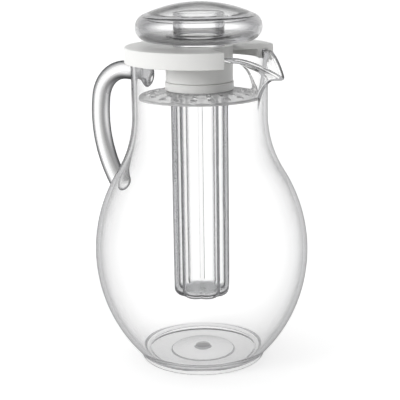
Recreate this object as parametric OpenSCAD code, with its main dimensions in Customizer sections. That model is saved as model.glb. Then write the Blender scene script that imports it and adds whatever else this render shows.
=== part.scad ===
// Pitcher with an ice core: a clear jug with a bonded handle, a white lid with a hollow clear knob,
// and a fluted ice tube with a strainer that hangs from the lid. Millimetres, +Z up.
// The origin is on the body axis at the table. The spout points to +X and the handle to -X.

/* [Jug body] */
// Radius of the belly at its widest
belly_r = 82; // [72:1:90]
// Height of the widest place of the belly
belly_z = 86; // [80:1:92]
// Radius of the arc that the belly wall follows
belly_arc_r = 116; // [110:1:124]
// Outer radius of the straight neck
neck_r = 51.2; // [49:0.1:53]
// Radius of the hollow arc between shoulder and neck
neck_arc_r = 86; // [70:1:90]
// Height of the rim over the table
rim_z = 239.5; // [236:0.5:246]
// Thickness of the wall
wall = 3.2; // [2.6:0.1:3.4]

/* [Jug foot and base] */
// Step from the wall in to the foot ring
foot_step = 1.5; // [0.5:0.1:3]
// Height of the foot ring's wall
foot_h = 6; // [5:0.1:7]
// Radius of the foot ring's lower outer edge
foot_edge_r = 3; // [1:0.1:4]
// Width of the ring that touches the table
foot_land = 2.4; // [1.5:0.1:3]
// Width of the fillet between the wall and the inner floor
floor_fillet_w = 5.2; // [4:0.1:7]
// Height of the inner floor at its rim
floor_z = 7.1; // [6.5:0.1:8]
// Radius of the moulded ring in the base
base_ring_r = 24.5; // [20:0.5:28]
// Drop of the floor from its rim to the moulded ring
floor_dip = 2.3; // [1:0.1:2.6]
// Rise of the dome inside the moulded ring
dome_rise = 2; // [1:0.1:3]
// Radius of the gate mark under the dome
gate_r = 6.2; // [3:0.1:8]
// Height of the gate mark
gate_h = 0.6; // [0.3:0.1:1]

/* [Spout] */
// Reach of the lip's inner edge beyond the inside of the neck
lip_out = 19.7; // [16:0.1:22]
// Drop of the lip's tip below the rim
lip_drop = 14.5; // [11:0.5:18]
// Drop from the rim to where the keel of the spout leaves the neck
keel_drop = 42.5; // [38:0.5:45]
// Half of the angle between the two sides of the V
lip_half_angle = 46; // [42:1:50]
// Radius of the V's inner edge
lip_edge_r = 1.8; // [1:0.1:3]

/* [Handle] */
// Diameter of the handle bar
bar_d = 14.4; // [12:0.1:16]
// Drop from the rim to the bar where it leaves the neck
bar_below = 17.9; // [17:0.1:21]
// Distance of the bar's upright part beyond the belly's widest radius
handle_out = 12.8; // [9:0.1:16]
// Radius of the quarter bend that turns the bar down
bend_r = 28; // [25:0.1:30]
// Length of the bar's upright part
bar_drop = 9.5; // [6:0.1:14]
// Radius of the long bend that leads in to the shoulder
sweep_r = 98.4; // [94:0.1:104]
// Radius of the pad where the bar joins the neck
pad_r = 9.9; // [8.5:0.1:10]
// Length of the pad along the bar
pad_l = 9; // [6:0.5:12]

/* [Lid cover] */
// Thickness of the lid's skirt
skirt_t = 4.15; // [3:0.05:6]
// Thickness of the lid's plate
plate_t = 4; // [3:0.1:5]
// Radius of the plate's upper edge
plate_edge_r = 1.2; // [0.6:0.1:1.6]
// Depth of the skirt below the plate
skirt_h = 7.8; // [6:0.1:9]
// Thickness of the inner ring that sits in the neck
ring_t = 3; // [2:0.1:4]
// Depth of the inner ring below the plate
ring_h = 6.6; // [5:0.1:8]
// Half of the angle of the pouring cut-out
cutout_half_angle = 38.5; // [36:0.5:44]
// Thickness of the plug's wall
plug_wall = 2.9; // [2.2:0.1:3.6]
// Drop of the plug's lower end below the rim
plug_drop = 21.7; // [20:0.1:24]

/* [Knob] */
// Outer radius of the knob at its widest
knob_r = 47.4; // [44:0.1:50]
// Radius of the round side of the knob
knob_side_r = 10.2; // [9:0.1:11]
// Gap between the lid's plate and the knob
knob_gap = 3.6; // [3:0.1:5]
// Angle on the knob's round side where the seam lies
seam_angle = 60.8; // [50:0.1:64]
// Rise of the dome above the seam
knob_dome_rise = 9.5; // [8:0.1:12]
// Thickness of the knob's wall
knob_wall = 3; // [2.4:0.1:3.2]
// Outer radius of the knob's stem
stem_r = 19.1; // [18:0.1:20]
// Thickness of the stem's wall
stem_wall = 3; // [2:0.1:4]

/* [Ice core] */
// Radius of the ice tube's neck, over the thread
core_neck_r = 21.9; // [21.4:0.1:22.2]
// Thickness of the neck's wall, with the thread
core_neck_wall = 3.7; // [2.6:0.1:5]
// Height of the tube's mouth over the plug's lower end
core_mouth_rise = 7.7; // [6:0.1:8.4]
// Radius of the circle on which the lobes of the tube lie
lobe_circle_r = 12.3; // [11.5:0.1:12.6]
// Radius of one lobe
lobe_r = 10; // [9.4:0.1:10.4]
// Number of lobes
lobe_count = 8; // [6:1:10]
// Turn of the first lobe away from the spout
lobe_turn = 7.5; // [0:0.5:22.5]
// Thickness of the tube's wall
core_wall = 2.2; // [1.6:0.1:2.6]
// Height of the tube's closed end
core_bottom_z = 50.4; // [46:0.1:60]
// Radius of the tube's lower edge
core_edge_r = 6; // [4:0.1:7]
// Thickness of the tube's floor
core_floor_t = 4; // [3:0.1:6]
// Width of the shoulder under the strainer, from the tube's neck
shoulder_w = 3.1; // [2:0.1:4]
// Thickness of the shoulder
shoulder_t = 2.4; // [2:0.1:3]
// Width of the white collar, from the tube's neck
collar_w = 3.9; // [3:0.1:5]
// Height of the white collar
collar_h = 6.2; // [5:0.1:7]
// Thickness of the soft seal on the tube's mouth
seal_t = 2; // [1.5:0.1:2.2]

/* [Strainer] */
// Gap between the strainer's rim and the neck
strainer_gap = 2.2; // [1:0.1:4]
// Thickness of the strainer's disc
strainer_t = 2; // [1.6:0.1:2.4]
// Width of the flat land round the collar
hub_land = 2.2; // [1:0.1:4]
// Drop of the sloping part
slope_drop = 3.6; // [2:0.1:5]
// Height of the lip at the rim
strainer_lip_h = 2.3; // [1.5:0.1:4]
// Holes in each row
holes_per_row = 20; // [12:1:24]
// Place of the inner row of holes, as a share of the slope's width
row_one_at = 0.253; // [0.22:0.001:0.32]
// Place of the outer row of holes, as a share of the slope's width
row_two_at = 0.696; // [0.6:0.001:0.78]
// Diameter of the holes in the inner row, as a share of the slope's width
hole_one_share = 0.228; // [0.12:0.001:0.26]
// Diameter of the holes in the outer row, as a share of the slope's width
hole_two_share = 0.316; // [0.18:0.001:0.36]

/* [Fits] */
// Gap between the lid's plate and the rim
seat_gap = 0.3; // [0.2:0.05:0.6]
// Gap between the lid and the neck, inside and outside
lid_gap = 0.45; // [0.3:0.05:0.6]
// Radial gap between the ice tube's neck and the plug, strainer and seal
neck_gap = 0.4; // [0.3:0.05:0.5]
// Gap between faces that turn over each other
turn_gap = 0.2; // [0.15:0.05:0.4]
// Radial gap of a bonded spigot
bond_gap = 0.2; // [0.1:0.05:0.3]

/* [Hidden] */
$fn = 96;

// Overrun of a cut past the face that it opens
over = 1;
// Angle between the points of a drawn arc
arc_step = 4;

clear_tint = [0.86, 0.88, 0.89, 0.45];
white_tint = [0.95, 0.95, 0.94];
seal_tint = [0.88, 0.88, 0.86];

// Shoulder: the belly arc hands over to the neck arc where both have the same slope
shoulder_angle = acos(1 - (belly_r - neck_r) / (belly_arc_r + neck_arc_r));
neck_start_z = belly_z + (belly_arc_r + neck_arc_r) * sin(shoulder_angle);
neck_in_r = neck_r - wall;
lip_reach = neck_in_r + lip_out;
lip_z = rim_z - lip_drop;
keel_z = rim_z - keel_drop;

// Foot and floor, set in from where the wall comes down
base_t = wall;
floor_fillet_z = floor_z + foot_edge_r;
foot_r = belly_radius(foot_h, 0) - foot_step;
floor_r = belly_radius(floor_fillet_z, wall) - floor_fillet_w;
dip_z = floor_z - floor_dip;
foot_in_r = foot_r - foot_edge_r - foot_land;

// Lid levels, from the rim up
plate_z = rim_z + seat_gap;
lid_top_z = plate_z + plate_t;
skirt_in_r = neck_r + lid_gap;
lid_r = skirt_in_r + skirt_t;
ring_out_r = neck_in_r - lid_gap;

// Ice core levels, from the plug down, and its radii, from the neck out
plug_z = rim_z - plug_drop;
core_mouth_z = plug_z + core_mouth_rise;
core_bore_r = core_neck_r - core_neck_wall;
shoulder_r = core_neck_r + shoulder_w;
collar_r = core_neck_r + collar_w;
collar_top_z = plug_z - turn_gap;
collar_z = collar_top_z - collar_h;
strainer_top_z = collar_z - turn_gap;
shoulder_top_z = strainer_top_z - strainer_t - turn_gap;
shoulder_z = shoulder_top_z - shoulder_t;
ceiling_z = core_mouth_z + seal_t + turn_gap;
ceiling_t = knob_wall;
well_z = ceiling_z + ceiling_t;
plug_bore_r = core_neck_r + neck_gap;
plug_r = plug_bore_r + plug_wall;

// Strainer radii, from the collar out to the neck
hub_r = collar_r + hub_land;
strainer_r = neck_in_r - strainer_gap;
slope_w = strainer_r - strainer_t - hub_r;
row_one_r = hub_r + row_one_at * slope_w;
row_two_r = hub_r + row_two_at * slope_w;
hole_one_d = hole_one_share * slope_w;
hole_two_d = hole_two_share * slope_w;

// Knob levels, from the lid up
knob_z = lid_top_z + knob_gap;
knob_mid_z = knob_z + knob_side_r;
knob_side_x = knob_r - knob_side_r;
seam_z = knob_mid_z + knob_side_r * sin(seam_angle);
seam_r = knob_side_x + knob_side_r * cos(seam_angle);
// Width of the knob's seam, and the spigot that centres the dome in the bowl
seam_land = 3.6;
seam_in_r = seam_r - seam_land;
spigot_h = 2;
spigot_t = 1.8;
dome_in_rise = knob_dome_rise - knob_wall;
dome_in_r = seam_in_r - bond_gap - spigot_t;
dome_in_arc_r = (pow(dome_in_r, 2) + pow(dome_in_rise, 2)) / (2 * dome_in_rise);
stem_top_z = seam_z + dome_in_rise - dome_in_arc_r + sqrt(pow(dome_in_arc_r, 2) - pow(stem_r, 2)) - seat_gap;

// Radius of the belly's wall at a height, drawn in by an inset
function belly_radius(z, inset) =
    belly_r - belly_arc_r + sqrt(pow(belly_arc_r - inset, 2) - pow(belly_z - z, 2));

// Points of an arc round a centre, from one angle to the other
function arc(c, r, a, b) =
    let (n = max(1, ceil(abs(b - a) / arc_step)))
    [for (i = [0:n]) [c[0] + r * cos(a + (b - a) * i / n), c[1] + r * sin(a + (b - a) * i / n)]];

// Wall of the jug from a low level up to the neck, drawn in by an inset
function wall_points(inset, low_z) =
    let (low = asin((low_z - belly_z) / (belly_arc_r - inset)),
         belly_c = [belly_r - belly_arc_r, belly_z],
         neck_c = [neck_r + neck_arc_r, neck_start_z])
    concat(arc(belly_c, belly_arc_r - inset, low, shoulder_angle),
           arc(neck_c, neck_arc_r + inset, 180 + shoulder_angle, 180));

// Height of a dome that rises over a flat ring
function dome_points(ring_r, ring_z, rise) =
    let (r = (pow(ring_r, 2) + pow(rise, 2)) / (2 * rise), a = asin(ring_r / r))
    arc([0, ring_z + rise - r], r, 90 - a, 90);

// JUG BODY

// Outer skin of the jug as a solid, with the foot's outside
module jug_outside() {
    foot_c = [foot_r - foot_edge_r, foot_edge_r];
    rotate_extrude()
        polygon(concat([[0, 0]], arc(foot_c, foot_edge_r, -90, 0), [[foot_r, foot_h]],
                       wall_points(0, foot_h), [[neck_r, rim_z], [0, rim_z]]));
}

// Hollow inside of the jug
module jug_inside() {
    dome = dome_points(base_ring_r, dip_z, dome_rise);
    rotate_extrude()
        polygon(concat([[floor_r, floor_z]], wall_points(wall, floor_fillet_z),
                       [[neck_in_r, rim_z + over], [0, rim_z + over]],
                       [for (i = [len(dome) - 1:-1:0]) dome[i]]));
}

// Recess under the base, as deep as the floor's thickness allows
module base_recess() {
    dome = dome_points(base_ring_r, dip_z - base_t, dome_rise);
    rotate_extrude()
        polygon(concat([[0, -over], [foot_in_r, -over], [foot_in_r, floor_z - base_t]], dome));
}

// Mark that the mould's gate leaves under the dome
module gate_mark() {
    translate([0, 0, dip_z - base_t + dome_rise - gate_h])
        cylinder(r = gate_r, h = gate_h + base_t / 2);
}

// Reach of the keel at a height, as a quarter ellipse that turns out to the lip
function keel(z, low_z, top_z, low_x, top_x) =
    let (s = min(1, max(0, (z - low_z) / (top_z - low_z))))
    low_x + (top_x - low_x) * (1 - sqrt(1 - s * s));

// Outline of the V at one height: a round edge in front, two straight sides back into the neck
function v_section(tip_x, edge_r, back_r, z) =
    let (t = tan(lip_half_angle),
         apex = tip_x - edge_r + edge_r / sin(lip_half_angle),
         m = apex * t * t / (1 + t * t),
         q = (apex * apex * t * t - back_r * back_r) / (1 + t * t),
         x = m + sqrt(max(0, m * m - q)),
         front = arc([tip_x - edge_r, 0], edge_r, lip_half_angle - 90, 90 - lip_half_angle))
    concat([[x, -(apex - x) * t, z]], [for (p = front) [p[0], p[1], z]], [[x, (apex - x) * t, z]]);

// Solid through a stack of outlines that have the same number of points
module stack(rings) {
    n = len(rings[0]);
    m = len(rings);
    polyhedron(
        points = [for (ring = rings) for (p = ring) p],
        faces = concat(
            [[for (i = [0:n - 1]) i]],
            [[for (i = [n - 1:-1:0]) (m - 1) * n + i]],
            [for (j = [0:m - 2]) for (i = [0:n - 1])
                [j * n + i, (j + 1) * n + i, (j + 1) * n + (i + 1) % n, j * n + (i + 1) % n]]));
}

// Wedge of the spout, from the keel's foot up to a level
module spout_wedge(low_z, turn_z, top_z, low_x, top_x, edge_r, back_r) {
    steps = 10;
    rise = turn_z - low_z;
    levels = concat([for (i = [0:steps]) low_z + rise * sin(90 * i / steps)], [top_z]);
    stack([for (z = levels)
        v_section(keel(z, low_z, turn_z, low_x, top_x), min(edge_r, low_x - back_r), back_r, z)]);
}

// Space over the lip: the rim falls from the neck to the tip along a curve
module lip_cut() {
    steps = 12;
    curve_power = 1.6;
    start_x = neck_in_r * cos(lip_half_angle / 2);
    fall = rim_z - lip_z;
    curve = [for (i = [0:steps]) let (s = i / steps)
        [start_x + (lip_reach - start_x) * s, rim_z - fall * pow(s, curve_power)]];
    far_x = lip_reach + wall * 4;
    translate([0, neck_r, 0])
        rotate([90, 0, 0])
            linear_extrude(height = 2 * neck_r)
                polygon(concat(curve, [[far_x, lip_z - (far_x - lip_reach) / 2], [far_x, rim_z + 2 * over],
                                       [start_x, rim_z + 2 * over]]));
}

module jug_body() {
    outer_edge_r = lip_edge_r + wall;
    outer_reach = lip_reach + wall / sin(lip_half_angle) - wall / tan(lip_half_angle) / 2;
    outer_turn_z = lip_z - wall * 0.9;
    mid_r = neck_r - wall / 2;
    inner_mid_r = neck_in_r - wall;
    color(clear_tint)
        difference() {
            union() {
                difference() {
                    union() {
                        jug_outside();
                        spout_wedge(keel_z, outer_turn_z, rim_z, neck_r, outer_reach, outer_edge_r, mid_r);
                    }
                    base_recess();
                }
                gate_mark();
            }
            jug_inside();
            spout_wedge(keel_z + wall, lip_z, rim_z + over, neck_in_r, lip_reach, lip_edge_r, inner_mid_r);
            lip_cut();
        }
}

// HANDLE

// Angle through which the long bend turns the bar in to the shoulder
sweep_angle = 31;
// Angle by which the pad slopes down to the neck
pad_tilt = 22;

// Distances and heights of the bar's upright part, its level part and its rounded end
bar_x = belly_r + handle_out;
bar_z = rim_z - bar_below;
level_x = bar_x - bend_r;
drop_z = bar_z - bend_r - bar_drop;
tip_x = bar_x - sweep_r * (1 - cos(sweep_angle));
tip_z = drop_z - sweep_r * sin(sweep_angle);

// One bend of the bar in the plane of the handle, about a centre at a distance and height
module bend(x, z, r, start, turn) {
    translate([-x, 0, z])
        rotate([90, 0, 0])
            rotate([0, 0, start])
                rotate_extrude(angle = turn)
                    translate([r, 0])
                        circle(d = bar_d, $fn = 48);
}

// Cone that spreads the bar on the neck, tilted down to it
module handle_pad() {
    translate([-neck_r - pad_l, 0, bar_z])
        rotate([0, 90 + pad_tilt, 0])
            cylinder(r1 = bar_d / 2 - bond_gap, r2 = pad_r, h = pad_l + over);
}

// Rounded end of the bar, along the bar's direction there
module bar_tip() {
    r = (bar_d - bond_gap) / 2;
    translate([-tip_x, 0, tip_z])
        rotate([0, 180 - sweep_angle, 0])
            rotate_extrude($fn = 48)
                polygon(concat([[0, -over], [r, -over]], arc([0, 0], r, 0, 90)));
}

module handle() {
    color(clear_tint)
        difference() {
            union() {
                handle_pad();
                translate([-level_x, 0, bar_z])
                    rotate([0, 90, 0])
                        cylinder(d = bar_d, h = level_x - neck_r + wall, $fn = 48);
                bend(level_x, bar_z - bend_r, bend_r, 90, 90);
                translate([-bar_x, 0, drop_z])
                    cylinder(d = bar_d, h = bar_drop, $fn = 48);
                bend(bar_x - sweep_r, drop_z, sweep_r, 180, sweep_angle);
                bar_tip();
            }
            jug_outside();
        }
}

// LID

// Sector that is open for pouring, from the plug outwards
module pouring_sector(low_z, high_z) {
    far = lid_r + over;
    edge_x = far * cos(cutout_half_angle);
    edge_y = far * sin(cutout_half_angle);
    end_x = 2 * far;
    difference() {
        translate([0, 0, low_z])
            linear_extrude(height = high_z - low_z)
                polygon([[0, 0], [edge_x, -edge_y], [end_x, -edge_y], [end_x, edge_y], [edge_x, edge_y]]);
        cylinder(r = plug_r, h = high_z + over);
    }
}

module lid_cover() {
    skirt_z = plate_z - skirt_h;
    ring_z = plate_z - ring_h;
    edge = arc([lid_r - plate_edge_r, lid_top_z - plate_edge_r], plate_edge_r, 0, 90);
    color(white_tint)
        difference() {
            rotate_extrude()
                polygon(concat(
                    [[plug_bore_r, plug_z], [plug_r, plug_z], [plug_r, plate_z],
                     [ring_out_r - ring_t, plate_z], [ring_out_r - ring_t, ring_z], [ring_out_r, ring_z],
                     [ring_out_r, plate_z], [skirt_in_r, plate_z], [skirt_in_r, skirt_z], [lid_r, skirt_z]],
                    edge,
                    [[stem_r + bond_gap, lid_top_z], [stem_r + bond_gap, well_z], [0, well_z],
                     [0, ceiling_z], [plug_bore_r, ceiling_z]]));
            pouring_sector(skirt_z - over, lid_top_z + over);
        }
}

module knob_base() {
    side_c = [knob_side_x, knob_mid_z];
    side_in_r = knob_side_r - knob_wall;
    in_a = acos((seam_in_r - knob_side_x) / side_in_r);
    floor_in_z = knob_z + knob_wall;
    color(clear_tint)
        rotate_extrude()
            polygon(concat(
                [[0, well_z], [stem_r, well_z], [stem_r, knob_z]],
                arc(side_c, knob_side_r, -90, seam_angle),
                [[seam_in_r, seam_z]],
                arc(side_c, side_in_r, in_a, -90),
                [[stem_r, floor_in_z], [stem_r, stem_top_z], [stem_r - stem_wall, stem_top_z],
                 [stem_r - stem_wall, well_z + stem_wall], [0, well_z + stem_wall]]));
}

module knob_cap() {
    top = dome_points(seam_r, seam_z, knob_dome_rise);
    inside = dome_points(dome_in_r, seam_z, dome_in_rise);
    spigot_r = seam_in_r - bond_gap;
    color(clear_tint)
        rotate_extrude()
            polygon(concat(
                top,
                [for (i = [len(inside) - 1:-1:0]) inside[i]],
                [[dome_in_r, seam_z - spigot_h], [spigot_r, seam_z - spigot_h], [spigot_r, seam_z]]));
}

// ICE CORE

module tube_collar() {
    color(white_tint)
        translate([0, 0, collar_z])
            difference() {
                cylinder(r = collar_r, h = collar_h);
                translate([0, 0, -over])
                    cylinder(r = core_neck_r, h = collar_h + 2 * over);
            }
}

// One row of holes through the strainer
module hole_row(row_r, hole_d) {
    for (i = [0:holes_per_row - 1])
        rotate([0, 0, (i + 0.5) * 360 / holes_per_row])
            translate([row_r, 0, strainer_top_z - slope_drop - 2 * strainer_t])
                cylinder(d = hole_d, h = slope_drop + 3 * strainer_t, $fn = 24);
}

module strainer() {
    hub_z = strainer_top_z - strainer_t;
    rim_top_z = strainer_top_z - slope_drop;
    lip_in_r = strainer_r - strainer_t;
    color(clear_tint)
        difference() {
            rotate_extrude()
                polygon([
                    [plug_bore_r, hub_z], [hub_r, hub_z], [lip_in_r, rim_top_z - strainer_t],
                    [lip_in_r, rim_top_z - strainer_lip_h], [strainer_r, rim_top_z - strainer_lip_h],
                    [strainer_r, rim_top_z - strainer_t / 2], [strainer_r - strainer_t / 2, rim_top_z],
                    [lip_in_r, rim_top_z], [hub_r, strainer_top_z], [plug_bore_r, strainer_top_z]]);
            hole_row(row_one_r, hole_one_d);
            hole_row(row_two_r, hole_two_d);
        }
}

// Fluted column: round lobes about a middle, with its lower edge rounded
module lobes(r, edge_r, low_z, top_z) {
    out_r = lobe_circle_r + r;
    edge = arc([out_r - edge_r, low_z + edge_r], edge_r, -90, 0);
    intersection() {
        translate([0, 0, low_z])
            linear_extrude(height = top_z - low_z)
                union() {
                    circle(r = lobe_circle_r + core_wall);
                    for (i = [0:lobe_count - 1])
                        rotate(lobe_turn + i * 360 / lobe_count)
                            translate([lobe_circle_r, 0])
                                circle(r = r, $fn = 48);
                }
        rotate_extrude()
            polygon(concat([[0, low_z]], edge, [[out_r, top_z], [0, top_z]]));
    }
}

module ice_tube() {
    in_r = lobe_r - core_wall;
    color(clear_tint)
        difference() {
            union() {
                lobes(lobe_r, core_edge_r, core_bottom_z, shoulder_top_z - shoulder_t / 2);
                translate([0, 0, shoulder_z])
                    cylinder(r = shoulder_r, h = shoulder_t);
                translate([0, 0, shoulder_z])
                    cylinder(r = core_neck_r, h = core_mouth_z - shoulder_z);
            }
            lobes(in_r, core_edge_r - core_wall, core_bottom_z + core_floor_t, shoulder_z);
            translate([0, 0, shoulder_z - over])
                cylinder(r = lobe_circle_r, h = shoulder_t + over);
            translate([0, 0, shoulder_z])
                cylinder(r = core_bore_r, h = core_mouth_z - shoulder_z + over);
        }
}

module tube_seal() {
    color(seal_tint)
        translate([0, 0, core_mouth_z])
            difference() {
                cylinder(r = core_neck_r - neck_gap, h = seal_t);
                translate([0, 0, -over])
                    cylinder(r = core_bore_r + neck_gap, h = seal_t + 2 * over);
            }
}

jug_body();
handle();
lid_cover();
knob_base();
knob_cap();
tube_collar();
strainer();
ice_tube();
tube_seal();
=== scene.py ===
"""Looks of a clear pitcher with an ice core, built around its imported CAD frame.

The jug, handle, knob, strainer and ice tube are clear moulded plastic. The lid and the ring under
it are white. Every piece is modelled in millimetres by its class and put in the scene in metres.
"""
import logging
from dataclasses import dataclass, field
from enum import Enum
from math import (acos, asin, atan2, ceil, cos, degrees, dist, exp, hypot, radians, sin, sqrt,
                  tan, tau)
from typing import Any, Iterable, Sequence

import bmesh
import bpy
from bmesh.types import BMEdge, BMesh, BMVert
from bpy.types import Material, Node, NodeSocket, NodeTree, Object
from mathutils import Matrix, Vector


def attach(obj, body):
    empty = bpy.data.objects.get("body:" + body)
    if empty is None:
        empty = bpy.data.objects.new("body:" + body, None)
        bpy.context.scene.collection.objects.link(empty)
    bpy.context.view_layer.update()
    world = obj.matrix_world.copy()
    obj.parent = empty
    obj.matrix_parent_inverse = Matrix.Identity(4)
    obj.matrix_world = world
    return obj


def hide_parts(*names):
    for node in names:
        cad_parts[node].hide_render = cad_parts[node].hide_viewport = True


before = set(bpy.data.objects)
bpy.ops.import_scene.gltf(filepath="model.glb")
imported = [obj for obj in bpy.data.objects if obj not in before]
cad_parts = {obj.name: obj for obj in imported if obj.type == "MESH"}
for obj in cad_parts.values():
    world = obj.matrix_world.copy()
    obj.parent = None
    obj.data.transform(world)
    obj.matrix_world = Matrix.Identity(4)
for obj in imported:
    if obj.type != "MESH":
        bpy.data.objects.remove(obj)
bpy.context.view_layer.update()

LOG = logging.getLogger("pitcher")
MM = 0.001
FULL_TURN = 360.0
WELD = 2e-6
WHITE = (1.0, 1.0, 1.0, 1.0)
Point = tuple[float, float]
Stops = tuple[tuple[float, str], ...]


class Body(Enum):
    """Rigid bodies of the frame that a piece can ride on."""

    JUG = "jug"
    LID = "lid"
    STRAINER = "strainer"
    CORE = "ice_core"


class Slot(Enum):
    """Material slots of the record."""

    CLEAR = "clear_plastic"
    WHITE = "white_plastic"
    SEAL = "soft_seal"


# Profiles


def arc(centre: Point, radius: float, start: float, end: float, step: float = 2.0) -> list[Point]:
    """Points along an arc.

    Args:
        centre: Centre of the arc, in mm.
        radius: Radius in mm.
        start: First angle in degrees.
        end: Last angle in degrees.
        step: Longest distance between two points, in mm.

    Returns:
        The points, both ends included.
    """
    count = max(2, ceil(abs(radians(end - start)) * radius / step))
    turn = [radians(start + (end - start) * i / count) for i in range(count + 1)]
    return [(centre[0] + radius * cos(a), centre[1] + radius * sin(a)) for a in turn]


def dome(ring_r: float, ring_z: float, rise: float, step: float = 2.0) -> list[Point]:
    """Points of a shallow dome, from its ring up to the axis, no further apart than a step."""
    radius = (ring_r ** 2 + rise ** 2) / (2 * rise)
    edge = degrees(asin(ring_r / radius))
    return arc((0.0, ring_z + rise - radius), radius, 90 - edge, 90, step)


def shifted(points: Iterable[Point], r: float, z: float) -> list[Point]:
    """Points moved by a radius and a height."""
    return [(r + out, z + up) for out, up in points]


def resample(points: Sequence[Point], count: int) -> list[Point]:
    """Points at equal distances along a line of points.

    Args:
        points: The line's corners.
        count: How many steps to cut it into.

    Returns:
        count + 1 points, both ends included.
    """
    lengths = [0.0]
    for a, b in zip(points, points[1:]):
        lengths.append(lengths[-1] + dist(a, b))
    result: list[Point] = []
    k = 0
    for i in range(count + 1):
        target = lengths[-1] * i / count
        while k < len(points) - 2 and lengths[k + 1] < target:
            k += 1
        share = (target - lengths[k]) / (lengths[k + 1] - lengths[k])
        a, b = points[k], points[k + 1]
        result.append((a[0] + (b[0] - a[0]) * share, a[1] + (b[1] - a[1]) * share))
    return result


def spread(points: Sequence[Point], step: float) -> list[Point]:
    """Points along a line with its corners kept, no further apart than a step."""
    cuts = [(a, b, max(1, ceil(dist(a, b) / step))) for a, b in zip(points, points[1:])]
    return [points[0]] + [(a[0] + (b[0] - a[0]) * i / n, a[1] + (b[1] - a[1]) * i / n)
                          for a, b, n in cuts for i in range(1, n + 1)]


def smoothstep(value: float, low: float, high: float) -> float:
    """0 below low, 1 above high and a smooth ramp between."""
    share = min(1.0, max(0.0, (value - low) / (high - low)))
    return share * share * (3 - 2 * share)


def smooth_max(a: float, b: float, soft: float) -> float:
    """The larger of two values, with a soft change from one to the other."""
    return 0.5 * (a + b + sqrt((a - b) ** 2 + soft ** 2))


# Mesh helpers


def spin(bm: BMesh, geom: Sequence[Any], angle: float, steps: int,
         centre: Sequence[float] = (0, 0, 0), axis: Sequence[float] = (0, 0, 1)) -> list[Any]:
    """Spins vertices and edges about an axis. A full turn closes on itself.

    Args:
        bm: The bmesh.
        geom: The vertices and edges.
        angle: Turn in degrees.
        steps: Number of faces along the turn.
        centre: Place of the axis, in metres.
        axis: Direction of the axis.

    Returns:
        The last vertices and edges.
    """
    return bmesh.ops.spin(bm, geom=geom, cent=centre, axis=axis, dvec=(0, 0, 0),
                          angle=radians(angle), steps=steps, use_merge=angle == FULL_TURN,
                          use_duplicate=False)["geom_last"]


def weld(bm: BMesh) -> None:
    """Merges a bmesh's doubled points and turns its faces outwards."""
    bmesh.ops.remove_doubles(bm, verts=bm.verts, dist=WELD)
    bmesh.ops.dissolve_degenerate(bm, edges=bm.edges, dist=WELD / 4)
    bmesh.ops.recalc_face_normals(bm, faces=bm.faces)


def turn_profile(points: Sequence[Point], zones: Iterable[tuple[float, int]],
                 closed: bool = False, start: float = 0.0) -> BMesh:
    """Spins a profile a full turn about Z.

    Args:
        points: Radius and height of each point in mm, from axis to axis or round a loop.
        zones: Turn in degrees and number of faces of each zone.
        closed: Whether the profile is a loop.
        start: Angle where the first zone starts, in degrees.

    Returns:
        A bmesh with a closed skin.
    """
    bm = bmesh.new()
    c, s = cos(radians(start)), sin(radians(start))
    verts = [bm.verts.new((r * c * MM, r * s * MM, z * MM)) for r, z in points]
    pairs = list(zip(verts, verts[1:]))
    if closed:
        pairs.append((verts[-1], verts[0]))
    geom: list[Any] = verts + [bm.edges.new(pair) for pair in pairs]
    for angle, steps in zones:
        geom = spin(bm, geom, angle, steps)
    weld(bm)
    return bm


def make_object(name: str, bm: BMesh, sharp: float = 30.0) -> Object:
    """Turns a bmesh into a smoothly shaded object of the scene and frees the bmesh.

    Args:
        name: The object's name.
        bm: Its mesh.
        sharp: Angle in degrees from which an edge is shaded sharp.

    Returns:
        The object.
    """
    for face in bm.faces:
        face.smooth = True
    for edge in bm.edges:
        edge.smooth = len(edge.link_faces) == 2 and edge.calc_face_angle(0.0) < radians(sharp)
    mesh = bpy.data.meshes.new(name)
    bm.to_mesh(mesh)
    bm.free()
    piece = bpy.data.objects.new(name, mesh)
    bpy.context.scene.collection.objects.link(piece)
    return piece


def publish(name: str, bm: BMesh, sharp: float, body: Body, node: str,
            material: Material) -> Object:
    """Makes a piece, dresses it, ties it to its body and hides the CAD node that it stands for.

    Args:
        name: The piece's name.
        bm: Its mesh.
        sharp: Angle in degrees from which an edge is shaded sharp.
        body: Body that it rides on.
        node: CAD node that it stands for.
        material: Its material.

    Returns:
        The piece.
    """
    piece = make_object(name, bm, sharp)
    piece.data.materials.append(material)
    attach(piece, body.value)
    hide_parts(node)
    return piece


# Materials


def linear(hex_colour: str) -> tuple[float, ...]:
    """Linear colour of an sRGB hex value such as '#f4f4f2', with an alpha of 1."""
    values = [int(hex_colour[i:i + 2], 16) / 255 for i in (1, 3, 5)]
    return (*(v / 12.92 if v <= 0.04045 else ((v + 0.055) / 1.055) ** 2.4 for v in values), 1.0)


def add_node(tree: NodeTree, kind: str, **settings: Any) -> Node:
    """Adds a node and sets or links what it is given.

    Args:
        tree: Tree that gets the node.
        kind: Name of the node's type, without ShaderNode.
        settings: Values for the node's own fields, for inputs by name with underscores, and for
            inputs by number after an n. A socket is linked, a hex colour made linear.

    Returns:
        The node.
    """
    node = tree.nodes.new("ShaderNode" + kind)
    for key, value in settings.items():
        if hasattr(node, key):
            setattr(node, key, value)
            continue
        target = node.inputs[int(key[1:]) if key[1:].isdigit() else key.replace("_", " ")]
        if isinstance(value, NodeSocket):
            tree.links.new(value, target)
        else:
            target.default_value = linear(value) if isinstance(value, str) else value
    return node


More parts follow.
